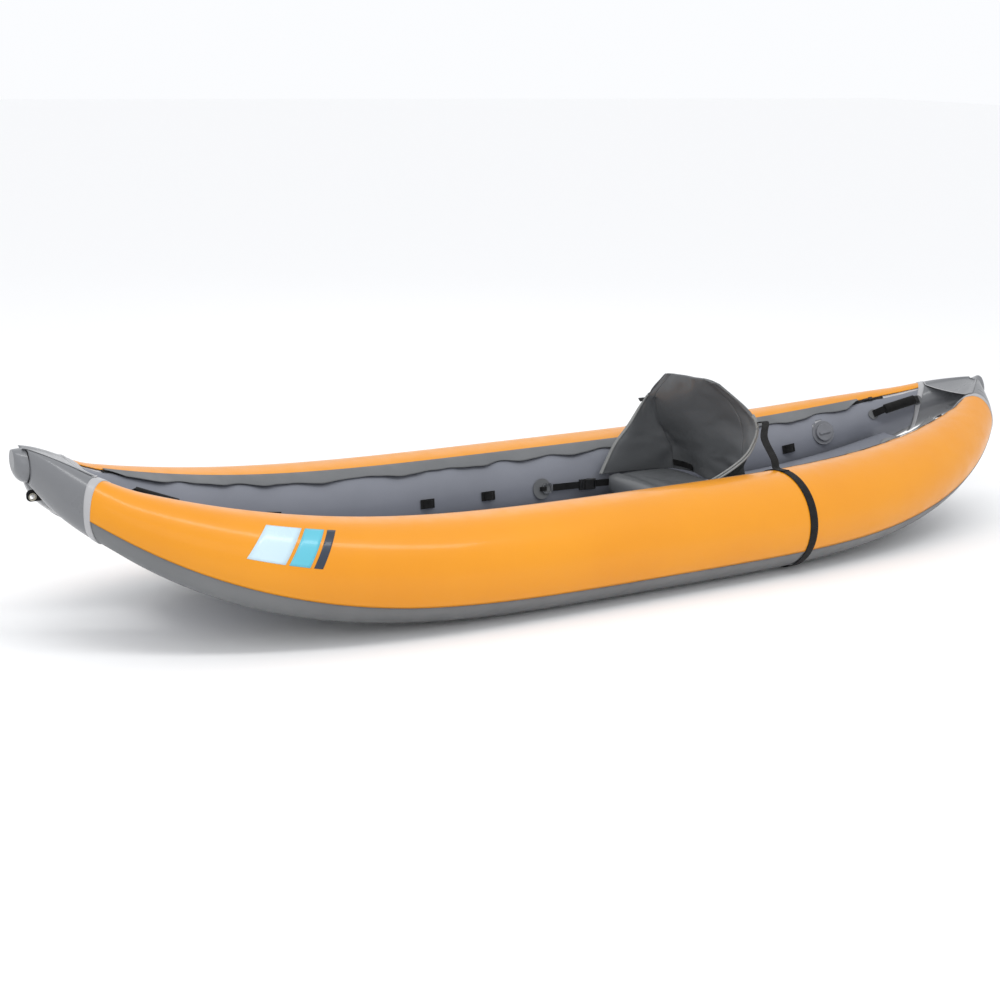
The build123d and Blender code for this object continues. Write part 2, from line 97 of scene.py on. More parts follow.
def add_area(name, place, target, width, height, power):
    light = bpy.data.lights.new(name, "AREA")
    light.shape = "RECTANGLE"
    light.size = width
    light.size_y = height
    light.energy = power
    lamp = bpy.data.objects.new(name, light)
    lamp.location = place
    lamp.rotation_euler = (Vector(target) - Vector(place)).to_track_quat("-Z", "Y").to_euler()
    bpy.context.collection.objects.link(lamp)


def add_studio():
    world = bpy.data.worlds.new("studio")
    world.use_nodes = True
    world.node_tree.nodes["Background"].inputs["Color"].default_value = (0.97, 0.98, 1, 1)
    world.node_tree.nodes["Background"].inputs["Strength"].default_value = 1.0
    bpy.context.scene.world = world
    bpy.context.scene.view_settings.view_transform = "Standard"
    add_area("top_strip", (-0.6, -1.4, 3.2), (0, -0.2, 0.2), 4.2, 0.5, 42)
    add_area("front_fill", (-2.5, -4.5, 2.6), (0, 0, 0.2), 3.0, 2.0, 12)
    add_area("back_fill", (2.0, 3.5, 3.0), (0, 0, 0.2), 3.0, 2.0, 8)
    bpy.ops.mesh.primitive_plane_add(size=60, location=(0, 0, -0.0005))
    floor = bpy.context.object
    floor.name = "studio_floor"
    material, shader, _ = new_material("floor_paper", (0.97, 0.97, 0.97), 0.9)
    shader.inputs["Specular IOR Level"].default_value = 0.1
    floor.data.materials.append(material)


# ------------------------------------------------------------------ materials
def new_material(name, colour, roughness):
    material = bpy.data.materials.new(name)
    material.use_nodes = True
    tree = material.node_tree
    shader = tree.nodes["Principled BSDF"]
    shader.inputs["Base Color"].default_value = (*colour, 1)
    shader.inputs["Roughness"].default_value = roughness
    return material, shader, tree


def node(tree, kind, **values):
    made = tree.nodes.new(kind)
    for key, value in values.items():
        if key in made.inputs:
            made.inputs[key].default_value = value
        else:
            setattr(made, key, value)
    return made


def mottle(tree, scale, detail, low, high):
    """Noise in object space, remapped to low..high."""
    place = node(tree, "ShaderNodeTexCoord")
    cloud = node(tree, "ShaderNodeTexNoise", Scale=scale, Detail=detail)
    tree.links.new(place.outputs["Object"], cloud.inputs["Vector"])
    remap = node(tree, "ShaderNodeMapRange")
    remap.inputs["From Min"].default_value = 0.3
    remap.inputs["From Max"].default_value = 0.7
    remap.inputs["To Min"].default_value = low
    remap.inputs["To Max"].default_value = high
    tree.links.new(cloud.outputs["Fac"], remap.inputs["Value"])
    return remap.outputs["Result"]


def weave(tree, scale):
    """Crossed threads: product of two sine bands in object space."""
    place = node(tree, "ShaderNodeTexCoord")
    split = node(tree, "ShaderNodeSeparateXYZ")
    tree.links.new(place.outputs["Object"], split.inputs["Vector"])
    waves = []
    for sockets in (("X", "Z"), ("Y", "Z")):
        total = node(tree, "ShaderNodeMath", operation="ADD")
        tree.links.new(split.outputs[sockets[0]], total.inputs[0])
        tree.links.new(split.outputs[sockets[1]], total.inputs[1])
        stretch = node(tree, "ShaderNodeMath", operation="MULTIPLY")
        stretch.inputs[1].default_value = scale
        tree.links.new(total.outputs[0], stretch.inputs[0])
        wave = node(tree, "ShaderNodeMath", operation="SINE")
        tree.links.new(stretch.outputs[0], wave.inputs[0])
        waves.append(wave)
    cross = node(tree, "ShaderNodeMath", operation="MULTIPLY")
    tree.links.new(waves[0].outputs[0], cross.inputs[0])
    tree.links.new(waves[1].outputs[0], cross.inputs[1])
    return cross.outputs[0]


def add_bump(tree, shader, height, strength, distance, previous=None):
    bump = node(tree, "ShaderNodeBump")
    bump.inputs["Strength"].default_value = strength
    bump.inputs["Distance"].default_value = distance
    tree.links.new(height, bump.inputs["Height"])
    if previous is not None:
        tree.links.new(previous, bump.inputs["Normal"])
    tree.links.new(bump.outputs["Normal"], shader.inputs["Normal"])
    return bump.outputs["Normal"]


def vary_colour(tree, shader, dark, light, scale):
    mix = node(tree, "ShaderNodeMix", data_type="RGBA")
    mix.inputs[6].default_value = (*dark, 1)
    mix.inputs[7].default_value = (*light, 1)
    tree.links.new(mottle(tree, scale, 6, 0, 1), mix.inputs["Factor"])
    tree.links.new(mix.outputs[2], shader.inputs["Base Color"])


def coated_fabric(name, dark, light, rough, coat, ripple=0.0012, threads=2600):
    """Plastic-coated cloth: mottled colour, thread print, slow ripples and scuffs in its gloss."""
    material, shader, tree = new_material(name, light, rough)
    vary_colour(tree, shader, dark, light, 3.5)
    tree.links.new(mottle(tree, 22, 8, rough * 0.8, rough * 1.3), shader.inputs["Roughness"])
    shader.inputs["Specular IOR Level"].default_value = 0.3
    shader.inputs["Coat Weight"].default_value = coat
    shader.inputs["Coat Roughness"].default_value = 0.12
    first = add_bump(tree, shader, weave(tree, threads), 0.10, 0.0002)
    add_bump(tree, shader, mottle(tree, 9, 3, 0, 1), 0.35, ripple, first)
    return material


def woven(name, dark, light, threads, rough=0.75):
    """Webbing, foam, coarse cloth and zipper tape: open threads, nearly no gloss."""
    material, shader, tree = new_material(name, light, rough)
    vary_colour(tree, shader, dark, light, 60)
    shader.inputs["Sheen Weight"].default_value = 0.03
    shader.inputs["Specular IOR Level"].default_value = 0.2
    first = add_bump(tree, shader, weave(tree, threads), 0.6, 0.0004)
    add_bump(tree, shader, mottle(tree, 25, 5, 0, 1), 0.3, 0.0015, first)
    return material


def moulded(name, dark, light, rough):
    material, shader, tree = new_material(name, light, rough)
    vary_colour(tree, shader, dark, light, 40)
    tree.links.new(mottle(tree, 90, 6, rough * 0.85, rough * 1.2), shader.inputs["Roughness"])
    add_bump(tree, shader, mottle(tree, 900, 3, 0, 1), 0.15, 0.0002)
    return material


def metal(name, colour, rough):
    material, shader, tree = new_material(name, colour, rough)
    shader.inputs["Metallic"].default_value = 1.0
    tree.links.new(mottle(tree, 60, 8, rough * 0.7, rough * 1.4), shader.inputs["Roughness"])
    add_bump(tree, shader, mottle(tree, 300, 4, 0, 1), 0.1, 0.0002)
    return material


def make_materials():
    return {
        "yellow": coated_fabric("yellow_coated_fabric", (0.72, 0.265, 0.003), (0.76, 0.292, 0.004),
                                0.36, 0.30, 0.0004),
        "wall": coated_fabric("inner_wall_fabric", (0.185, 0.195, 0.225), (0.215, 0.225, 0.26),
                              0.42, 0.15, 0.002),
        "base": coated_fabric("base_fabric", (0.145, 0.15, 0.155), (0.175, 0.18, 0.185), 0.45, 0.1),
        "cap": coated_fabric("cap_fabric", (0.145, 0.15, 0.16), (0.18, 0.185, 0.195), 0.30, 0.45, 0.0025),
        "tape": coated_fabric("seam_tape", (0.36, 0.36, 0.37), (0.44, 0.44, 0.45), 0.35, 0.2),
        "flap": coated_fabric("flap_fabric", (0.12, 0.125, 0.13), (0.16, 0.165, 0.17), 0.5, 0.1, 0.002),
        "seat": coated_fabric("seat_fabric", (0.095, 0.10, 0.105), (0.125, 0.13, 0.135),
                              0.42, 0.2, 0.003, 2000),
        "seat_dark": woven("seat_outside_fabric", (0.03, 0.035, 0.035), (0.05, 0.055, 0.05), 2400),
        "piping": coated_fabric("seat_piping", (0.20, 0.205, 0.20), (0.26, 0.265, 0.26), 0.4, 0.2),
        "webbing": woven("black_webbing", (0.006, 0.006, 0.006), (0.014, 0.014, 0.014), 3200),
        "zip": woven("zipper_tape", (0.008, 0.008, 0.008), (0.02, 0.02, 0.02), 4200),
        "foam": woven("grip_foam", (0.004, 0.004, 0.004), (0.010, 0.010, 0.010), 900),
        "plastic": moulded("black_acetal", (0.008, 0.008, 0.008), (0.016, 0.016, 0.016), 0.38),
        "valve": moulded("valve_plastic", (0.17, 0.175, 0.19), (0.21, 0.215, 0.235), 0.4),
        "button": moulded("button_plastic", (0.30, 0.30, 0.31), (0.36, 0.36, 0.37), 0.35),
        "film": coated_fabric("air_cell_film", (0.45, 0.46, 0.48), (0.55, 0.56, 0.58), 0.3, 0.3),
        "steel": metal("stainless_steel", (0.55, 0.56, 0.57), 0.28),
        "black_metal": metal("black_metal", (0.05, 0.05, 0.05), 0.4),
        "brass": metal("plated_brass", (0.38, 0.36, 0.30), 0.3),
        "pale": coated_fabric("decal_pale_blue", (0.50, 0.66, 0.74), (0.56, 0.72, 0.80), 0.3, 0.4),
        "sky": coated_fabric("decal_sky_blue", (0.10, 0.46, 0.58), (0.13, 0.52, 0.65), 0.3, 0.4),
        "navy": coated_fabric("decal_navy", (0.02, 0.03, 0.05), (0.03, 0.05, 0.08), 0.3, 0.4),
    }


# ------------------------------------------------------------------ the tube's surface
def tube_values(x):
    """Centre y, centre z, half width and half height of the starboard tube at x."""
    along = (x - SHIFT) / PROFILE
    a = abs(along)
    end = -1 if along < 0 else 1
    tip = abs(end * TIP_X - SHIFT) / PROFILE
    pinch = min(1.0, max(0.0, (a - PINCH_START) / (tip - PINCH_START)))
    y = END_OFFSET + (OFFSET - END_OFFSET) * (1 - a ** 3.5)
    z = RADIUS + RISE[end] * a ** 3.8
    radius = RADIUS * (1 - TAPER * a ** 4.8)
    if end < 0:
        z += 0.012 * pinch ** 2
        height = radius * (1 + 0.65 * pinch ** 2)
    else:
        y -= 0.020 * a ** 8
        z -= 0.016 * a ** 8
        height = radius * (1 + 0.45 * pinch ** 2)
    width = radius * (1 - 0.25 * pinch ** 4)
    y += (width + 0.001 - y) * pinch ** 4
    return y, z, width, height


def surf(x, angle, offset=0.0, side=1):
    """Point on the tube: angle 0 is outboard, 90 top, 180 inboard, 270 below."""
    step = 0.0005
    y, z, width, height = tube_values(x)
    y2, z2, _, _ = tube_values(x + step)
    upright = 1 - min(1.0, max(0.0, (abs(x) / 1.575 - 0.9) / 0.08))
    tangent = Vector((step, (y2 - y) * upright, (z2 - z) * upright)).normalized()
    up = (Vector((0, 0, 1)) - tangent * tangent.z).normalized()
    out = up.cross(tangent)
    turn = math.radians(angle)
    outward = out * ((width + offset) * math.cos(turn))
    upward = up * ((height + offset) * math.sin(turn))
    point = Vector((x, y, z)) + outward + upward
    point.y *= side
    return point


def bow_ring(angle):
    return -1.415 - 0.030 * math.cos(math.radians(angle - 50))


def stern_ring(angle):
    return 1.425 + 0.030 * math.cos(math.radians(angle - 80))


def lower_seam(x):
    """The wear strip's upper edge climbs a little towards both ends."""
    a = abs(x - SHIFT) / PROFILE
    return LOWER_SEAM + 16 * max(0.0, (a - 0.45) / 0.5) ** 1.5


def tucked_seam(x):
    """The wear strip's edge, tucked 3 degrees under the yellow panel."""
    return 360 + lower_seam(x) + 3


def welt_foot(x):
    return lower_seam(x) - 1.4


def welt_top(x):
    return lower_seam(x) + 0.2


# ------------------------------------------------------------------ mesh helpers
def make_object(name, verts, faces, material):
    mesh = bpy.data.meshes.new(name)
    mesh.from_pydata([tuple(v) for v in verts], [], faces)
    mesh.update()
    work = bmesh.new()
    work.from_mesh(mesh)
    bmesh.ops.recalc_face_normals(work, faces=work.faces)
    work.to_mesh(mesh)
    work.free()
    for face in mesh.polygons:
        face.use_smooth = True
    made = bpy.data.objects.new(name, mesh)
    bpy.context.collection.objects.link(made)
    made.data.materials.append(material)
    return made


def grid_faces(rows, columns, wrap=False):
    faces = []
    span = columns if wrap else columns - 1
    for r in range(rows - 1):
        for c in range(span):
            d = (c + 1) % columns
            faces.append((r * columns + c, r * columns + d, (r + 1) * columns + d, (r + 1) * columns + c))
    return faces


def thick_sheet(name, top, bottom, material):
    """Closed sheet from two grids of points with the same shape."""
    rows, columns = len(top), len(top[0])
    verts = [p for row in top for p in row] + [p for row in bottom for p in row]
    count = rows * columns
    faces = grid_faces(rows, columns)
    faces += [tuple(i + count for i in reversed(face)) for face in faces]
    rim = [(0, c) for c in range(columns)] + [(r, columns - 1) for r in range(1, rows)]
    rim += [(rows - 1, c) for c in range(columns - 2, -1, -1)] + [(r, 0) for r in range(rows - 2, 0, -1)]
    loop = [r * columns + c for r, c in rim]
    for i, a in enumerate(loop):
        b = loop[(i + 1) % len(loop)]
        faces.append((b, a, a + count, b + count))
    return make_object(name, verts, faces, material)


def tube_sheet(name, side, starts, ends, columns, rows, inner, outer, material, ripple=None):
    """Sheet on the tube: starts and ends give x for each angle, columns is a list of angle functions."""
    top, bottom = [], []
    for r in range(rows):
        part = 0.5 - 0.5 * math.cos(math.pi * r / (rows - 1))
        upper_row, lower_row = [], []
        for share in columns:
            middle_x = starts(90) + (ends(90) - starts(90)) * part
            angle = share(middle_x)
            x = starts(angle) + (ends(angle) - starts(angle)) * part
            wave = ripple(x, angle) if ripple else 0.0
            upper_row.append(surf(x, angle, outer + wave, side))
            lower_row.append(surf(x, angle, inner + wave, side))
        top.append(upper_row)
        bottom.append(lower_row)
    return thick_sheet(name, top, bottom, material)


def between(low, high, count):
    """Angle functions spread evenly from low to high, which may depend on x."""
    def at(share):
        return lambda x: low(x) + (high(x) - low(x)) * share
    return [at(i / (count - 1)) for i in range(count)]


def fixed(value):
    """A function that gives the same value everywhere."""
    return lambda place: value


def ribbon(name, centres, across, width, thickness, material):
    """Flat strap along points; across is its width direction."""
    top, bottom = [], []
    for i, centre in enumerate(centres):
        before = centres[max(i - 1, 0)]
        after = centres[min(i + 1, len(centres) - 1)]
        normal = (after - before).cross(across).normalized() * (thickness / 2)
        offsets = [-0.5, -0.45, -0.2, 0.2, 0.45, 0.5]
        pads = [0.5, 1.0, 1.0, 1.0, 1.0, 0.5]
        top.append([centre + across * (width * o) + normal * p for o, p in zip(offsets, pads)])
        bottom.append([centre + across * (width * o) - normal * p for o, p in zip(offsets, pads)])
    return thick_sheet(name, top, bottom, material)


def curve_at(values, t):
    """Catmull-Rom curve through the values, at t from 0 to the last one's number."""
    spans = len(values) - 1
    k = min(int(t), spans - 1)
    part = t - k
    p0, p1 = values[max(k - 1, 0)], values[k]
    p2, p3 = values[k + 1], values[min(k + 2, spans)]
    return 0.5 * ((2 * p1) + (p2 - p0) * part + (2 * p0 - 5 * p1 + 4 * p2 - p3) * part ** 2
                  + (3 * p1 - p0 - 3 * p2 + p3) * part ** 3)


def smooth_path(points, count):
    """Evenly spaced points on the curve through these."""
    return [curve_at(points, i / (count - 1) * (len(points) - 1)) for i in range(count)]


def round_tube(name, path, radius, material):
    """Closed round bead along a path."""
    sides = 10
    verts = []
    up = Vector((0.13, 0.21, 0.97))
    for i, point in enumerate(path):
        ahead = (path[min(i + 1, len(path) - 1)] - path[max(i - 1, 0)]).normalized()
        first = ahead.cross(up).normalized()
        second = ahead.cross(first)
        for k in range(sides):
            turn = 2 * math.pi * k / sides
            spoke = first * (radius * math.cos(turn)) + second * (radius * math.sin(turn))
            verts.append(point + spoke)
    faces = grid_faces(len(path), sides, wrap=True)
    faces.append(tuple(range(sides)))
    faces.append(tuple(len(verts) - 1 - k for k in range(sides)))
    return make_object(name, verts, faces, material)


def join(name, pieces):
    bpy.ops.object.select_all(action="DESELECT")
    for piece in pieces:
        piece.select_set(True)
    bpy.context.view_layer.objects.active = pieces[0]
    bpy.ops.object.join()
    pieces[0].name = name
    return pieces[0]


def settle(piece, body, slot, *nodes):
    """Hides the CAD nodes that the piece stands for and attaches it to the body it rides on; slot, its
    finish, is not used; body None is for blended pieces.
    """
    if nodes:
        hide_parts(*nodes)
    if body:
        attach(piece, body)
    return piece


# ------------------------------------------------------------------ hull skins
def wall_ripple(side):
    """Faint upright puckers of the slack inner wall, strongest near its edges."""
    def ripple(x, angle):
        edge = abs(angle - 172) / 48
        fold = noise.noise(Vector((x * 26, angle * 0.03, side * 3.1)))
        return 0.0016 * fold * (0.35 + edge)
    return ripple


def seam_pucker(side, seam, depth):
    def ripple(x, angle):
        near = math.exp(-((angle - seam) / 7) ** 2)
        return depth * near * noise.noise(Vector((x * 34, side * 2.3, 0)))
    return ripple


def build_hull(m):
    for word, side in SIDES.items():
        yellow = tube_sheet(f"outer_skin_{word}", side, bow_ring, stern_ring,
                            between(lower_seam, fixed(UPPER_SEAM), 40), 200, -0.0012, YELLOW_FACE,
                            m["yellow"], seam_pucker(side, UPPER_SEAM, 0.0022))
        settle(yellow, "hull", "yellow_shell", f"outer_panel_{word}")
        wall = tube_sheet(f"inner_wall_{word}", side, bow_ring, stern_ring,
                          between(fixed(ZIP_EDGE), fixed(BASE_EDGE + 4), 22), 240, -0.0035, WALL_FACE,
                          m["wall"], wall_ripple(side))
        cut_round(wall, word)
        settle(wall, "hull", "inner_fabric", f"inner_panel_{word}")
        base = tube_sheet(f"base_strip_{word}", side, bow_ring, stern_ring,
                          between(fixed(BASE_EDGE), tucked_seam, 30), 160,
                          -0.0032, BASE_FACE, m["base"])
        settle(base, "hull", "base_fabric", f"base_panel_{word}")
        welt = tube_sheet(f"lower_seam_welt_{word}", side, bow_ring, stern_ring,
                          between(welt_foot, welt_top, 3), 160,
                          -0.001, 0.0009, m["flap"])
        settle(welt, "hull", "flap_fabric")
        teeth = tube_sheet(f"zip_tape_{word}", side, fixed(-1.33), fixed(1.32),
                           between(fixed(UPPER_SEAM - 0.5), fixed(ZIP_EDGE + 0.5), 4), 90,
                           -0.0032, -0.0022, m["zip"])
        settle(teeth, "hull", "zip_tape")
        build_flap(m, word, side)


def cut_round(wall, word):
    """Opens the wall under the valve's flange."""
    reach = 0.036
    low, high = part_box(f"valve_body_{word}")
    centre = (Vector(low) + Vector(high)) / 2
    work = bmesh.new()
    work.from_mesh(wall.data)
    near = [face for face in work.faces if (face.calc_center_median() - centre).length < reach]
    bmesh.ops.delete(work, geom=near, context="FACES")
    work.to_mesh(wall.data)
    work.free()


def flap_edge(x, side):
    """How far the flap's loose edge hangs, in degrees, and how far it stands off."""
    phase = 1.7 if side > 0 else 0.4
    wave = math.sin(x * 30 + phase + 1.3 * math.sin(x * 7.1))
    small = noise.noise(Vector((x * 16, side * 4.0, 0.3)))
    lift = 0.010 * max(0.0, wave) if side < 0 and x > 0.5 else 0.0
    return 12.5 + 2.6 * wave + 3.2 * small, 0.0045 + 0.0030 * wave + 0.002 * small + lift


def build_flap(m, word, side):
    """Cover along the upper seam: its loose edge waves, and lies flat under the strap."""
    rows, columns = 260, 9
    close, thickness = 0.0009, 0.0011
    top, bottom = [], []
    for r in range(rows):
        x = COVER_BOW_X + (COVER_STERN_X - COVER_BOW_X) * r / (rows - 1)
        hang, stand = flap_edge(x, side)
        ends = min(1.0, (x - COVER_BOW_X) / 0.05, (COVER_STERN_X - x) / 0.05)
        hang = 3 + hang * max(0.15, ends)
        upper_row, lower_row = [], []
        for c in range(columns):
            share = c / (columns - 1)
            angle = UPPER_SEAM - 3 + (hang + 3) * share
            off = close + max(0.0, stand) * share ** 1.6
            if abs(x - STRAP_X) < 0.03:
                off = close
            upper_row.append(surf(x, angle, off + thickness, side))
            lower_row.append(surf(x, angle, off, side))
        top.append(upper_row)
        bottom.append(lower_row)
    flap = thick_sheet(f"zip_cover_{word}", top, bottom, m["flap"])
    settle(flap, "hull", "flap_fabric", f"zip_flap_{word}")


# ------------------------------------------------------------------ bow and stern
def build_cone(m, word, side, end_word, ring, end):
    """Cone skin, from its seam to the tip. Returns its ring of tape."""
    rows, columns = 34, 48
    verts = []
    for r in range(rows):
        part = r / (rows - 1)
        for c in range(columns):
            angle = 360 * c / columns
            x = ring(angle) + (end * TIP_X - ring(angle)) * part
            slack = noise.noise(Vector((x * 12, angle * 0.035, side * 1.7 + end)))
            fold = slack * 0.0022 * math.sin(math.pi * part)
            verts.append(surf(x, angle, 0.0004 + fold * 0.6, side))
    faces = grid_faces(rows, columns, wrap=True)
    skin = make_object(f"{end_word}_cone_skin_{word}", verts, faces, m["cap"])
    close_shell(skin, 0.0014)
    settle(skin, "hull", "cap_fabric", f"{end_word}_cone_{word}")
    return ring_tape(m, word, side, end_word, ring, end)


def ring_tape(m, word, side, end_word, ring, end):
    """Band of tape over the cone's seam: (height, place along the boat) of its edges and face."""
    profile = ((-0.001, 0.0), (0.0016, 0.001), (0.0018, 0.004),
               (0.0018, 0.011), (0.0012, 0.014), (-0.001, 0.0145))
    around = 64
    verts = []
    for offset, shift in profile:
        for c in range(around):
            angle = 360 * c / around
            verts.append(surf(ring(angle) - end * 0.009 + end * shift, angle, offset, side))
    faces = grid_faces(len(profile), around, wrap=True)
    tape = make_object(f"{end_word}_ring_tape_{word}", verts, faces, m["tape"])
    close_shell(tape, 0.0005)
    return tape


def close_shell(piece, thickness):
    """Gives a surface its thickness inward and applies it."""
    solid = piece.modifiers.new("thickness", "SOLIDIFY")
    solid.thickness = thickness
    solid.offset = -1
    apply_modifiers(piece)


def apply_modifiers(piece):
    bpy.context.view_layer.update()
    graph = bpy.context.evaluated_depsgraph_get()
    mesh = bpy.data.meshes.new_from_object(piece.evaluated_get(graph))
    piece.modifiers.clear()
    piece.data = mesh


def build_deck(m, end_word, ring, end):
    """Sheet that laps over both cones and bridges the cleft between them."""
    rows, columns = 22, 25
    lap = 84 if end < 0 else 96
    top, bottom = [], []
    for r in range(rows):
        part = r / (rows - 1)
        upper_row, lower_row = [], []
        for c in range(columns):
            across = -1 + 2 * c / (columns - 1)
            side = 1 if across >= 0 else -1
            x = ring(lap) + end * 0.004 + (end * (TIP_X + 0.004) - ring(lap)) * part
            if abs(across) > 0.5:
                angle = 116 + (lap - 116) * (abs(across) - 0.5) * 2
                point = surf(x, angle, 0.0022, side)
                under = surf(x, angle, 0.0010, side)
            else:
                edge = surf(x, 116, 0.0022, 1)
                share = abs(across) / 0.5
                sag = 0.004 * (1 - share * share) * (1 - part)
                point = Vector((edge.x, edge.y * across / 0.5, edge.z - sag))
                under = point - Vector((0, 0, 0.0012))
            upper_row.append(point)
            lower_row.append(under)
        top.append(upper_row)
        bottom.append(lower_row)
    deck = thick_sheet(f"{end_word}_deck_cover", top, bottom, m["cap"])
    settle(deck, "hull", "cap_fabric", f"{end_word}_deck")
    hem = [[p + Vector((-end * d, 0, 0.0008)) for p in top[0]] for d in (0.003, -0.010)]
    low = [[p - Vector((0, 0, 0.0010)) for p in row] for row in hem]
    settle(thick_sheet(f"{end_word}_deck_hem", hem, low, m["tape"]), "hull", "seam_tape")


def build_ends(m):
    for end_word, ring, end in (("bow", bow_ring, -1), ("stern", stern_ring, 1)):
        tapes = [build_cone(m, word, side, end_word, ring, end) for word, side in SIDES.items()]
        settle(join(f"{end_word}_ring_tapes", tapes), "hull", "seam_tape", f"{end_word}_seam_tapes")
        build_deck(m, end_word, ring, end)


# ------------------------------------------------------------------ graphic on the sides
def build_graphic(m):
    """Three plain slanted bars in blues, printed on both sides near the bow."""
    bars = [("pale", -1.124, 0.082), ("sky", -1.034, 0.046), ("navy", -0.980, 0.020)]
    low, high = 13, 61
    for word, side in SIDES.items():
        for key, left, wide in bars:
            top, bottom = [], []
            for r in range(17):
                angle = low + (high - low) * r / 16
                lean = 0.0007 * (angle - low)
                xs = [left + lean + wide * c / 6 for c in range(7)]
                top.append([surf(x, angle, 0.0006, side) for x in xs])
                bottom.append([surf(x, angle, 0.0001, side) for x in xs])
            bar = thick_sheet(f"side_bar_{key}_{word}", top, bottom, m[key])
            settle(bar, "hull", "yellow_shell")


# ------------------------------------------------------------------ floor
def floor_values(x):
    """Half width, middle height and thickness of the floor at x."""
    y, z, width, _ = tube_values(x)
    height = 0.090 * width / RADIUS
    return y - width - 0.005, z - 0.37 * width, height


def build_floor(m):
    """Inflated floor with shallow grooves along it."""
    rows, columns = 90, 40
    groove_depth = 0.004
    verts = []
    for r in range(rows):
        x = -1.249 + 2.498 * (0.5 - 0.5 * math.cos(math.pi * r / (rows - 1)))
        half, middle, height = floor_values(x)
        for c in range(columns):
            turn = 2 * math.pi * c / columns
            across = math.copysign(abs(math.cos(turn)) ** 0.35, math.cos(turn))
            rise = math.copysign(abs(math.sin(turn)) ** 0.6, math.sin(turn))
            groove = groove_depth
            if abs(across) < 0.95:
                groove *= abs(math.cos(3 * math.pi * across)) ** 0.5
            top = (height / 2 - 0.0045 + groove) * rise
            verts.append(Vector((x, half * across, middle + top)))
    faces = grid_faces(rows, columns, wrap=True)
    faces += [tuple(range(columns)), tuple(len(verts) - 1 - c for c in range(columns))]
    sleeve = make_object("floor_cushion", verts, faces, m["wall"])
    settle(sleeve, "hull", "inner_fabric", "floor_sleeve", "floor_air_cell")


# ------------------------------------------------------------------ seat
# The seat's back and its two side wings are one sewn shell. Each row runs from the starboard
# wing's free edge, over the back, to the port wing's free edge; rows go from the top down.
# The port strap pulls its side aft, so the shell sits a little twisted.
SEAT_SHELL = [
    [(0.402, 0.118, 0.476), (0.402, 0.090, 0.480), (0.405, 0.000, 0.484),
     (0.405, -0.090, 0.484), (0.406, -0.118, 0.482)],
    [(0.383, 0.180, 0.397), (0.396, 0.158, 0.394), (0.434, 0.000, 0.394),
     (0.470, -0.135, 0.396), (0.494, -0.180, 0.388)],
    [(0.331, 0.186, 0.318), (0.434, 0.163, 0.300), (0.452, 0.000, 0.310),
     (0.482, -0.148, 0.312), (0.474, -0.197, 0.315)],
    [(0.279, 0.184, 0.262), (0.466, 0.155, 0.242), (0.472, 0.000, 0.245),
     (0.478, -0.152, 0.246), (0.392, -0.207, 0.262)],
    [(0.226, 0.174, 0.182), (0.478, 0.156, 0.176), (0.482, 0.000, 0.178),
     (0.478, -0.156, 0.176), (0.240, -0.176, 0.184)],
]


def seat_point(across, down, behind=0.0):
    """Point on the shell: across 0..4, down 0..4, and how far behind its front face."""
    column = [curve_at([Vector(p) for p in row], across) for row in SEAT_SHELL]
    point = curve_at(column, down)
    if behind:
        step = 0.02
        right = seat_point(min(across + step, 4), down) - seat_point(max(across - step, 0), down)
        low = seat_point(across, min(down + step, 4)) - seat_point(across, max(down - step, 0))
        point += right.cross(low).normalized() * behind
    return point


def seat_fold(across, down):
    """Pulled folds: they fan out from the port lower corner, and cross the middle softly."""
    ray = math.atan2(4.4 - down, 3.9 - across)
    reach = math.hypot(4.4 - down, (3.9 - across) * 1.3)
    fan = math.sin(ray * 23) * math.exp(-((reach - 1.2) / 0.9) ** 2) * 0.0030
    slack = noise.noise(Vector((across * 2.2, down * 1.7, 4.1))) * 0.0045
    pull = math.exp(-((across - 1.0 - 0.12 * math.sin(down * 3)) / 0.10) ** 2) * (0.004 if down > 1 else 0)
    return fan + slack - pull


def shell_piece(name, low, high, columns, depth, materials):
    """Closed piece of the shell between two values of across, with one cloth in front and one behind."""
    front, rear = [], []
    rows = 64
    for r in range(rows):
        down = 4 * r / (rows - 1)
        front_row, rear_row = [], []
        for c in range(columns):
            across = low + (high - low) * c / (columns - 1)
            fold = seat_fold(across, down)
            front_row.append(seat_point(across, down, 0.0001 - fold))
            rear_row.append(seat_point(across, down, depth(across, down) - fold * 0.5))
        front.append(front_row)
        rear.append(rear_row)
    piece = thick_sheet(name, front, rear, materials[0])
    piece.data.materials.append(materials[1])
    count = (rows - 1) * (columns - 1)
    for number, face in enumerate(piece.data.polygons):
        face.material_index = 1 if count <= number < 2 * count else 0
    inflate(piece, 0.6, 0.005)
    piece.modifiers.new("round", "SUBSURF").levels = 1
    apply_modifiers(piece)
    return piece


def inflate(piece, pressure, cap_move):
    """Cloth simulation with pressure; no point moves further than cap_move."""
    last_frame = 12
    start = [v.co.copy() for v in piece.data.vertices]
    cloth = piece.modifiers.new("cloth", "CLOTH")
    cloth.settings.use_pressure = True
    cloth.settings.uniform_pressure_force = pressure
    cloth.settings.effector_weights.gravity = 0
    cloth.settings.tension_stiffness = 30
    cloth.settings.bending_stiffness = 2
    cloth.settings.shrink_min = -0.01
    cloth.point_cache.frame_start = 1
    cloth.point_cache.frame_end = last_frame
    for number in range(1, last_frame + 1):
        bpy.context.scene.frame_set(number)
    apply_modifiers(piece)
    for vertex, place in zip(piece.data.vertices, start):
        move = vertex.co - place
        if move.length > cap_move:
            vertex.co = place + move.normalized() * cap_move
    bpy.context.scene.frame_set(1)


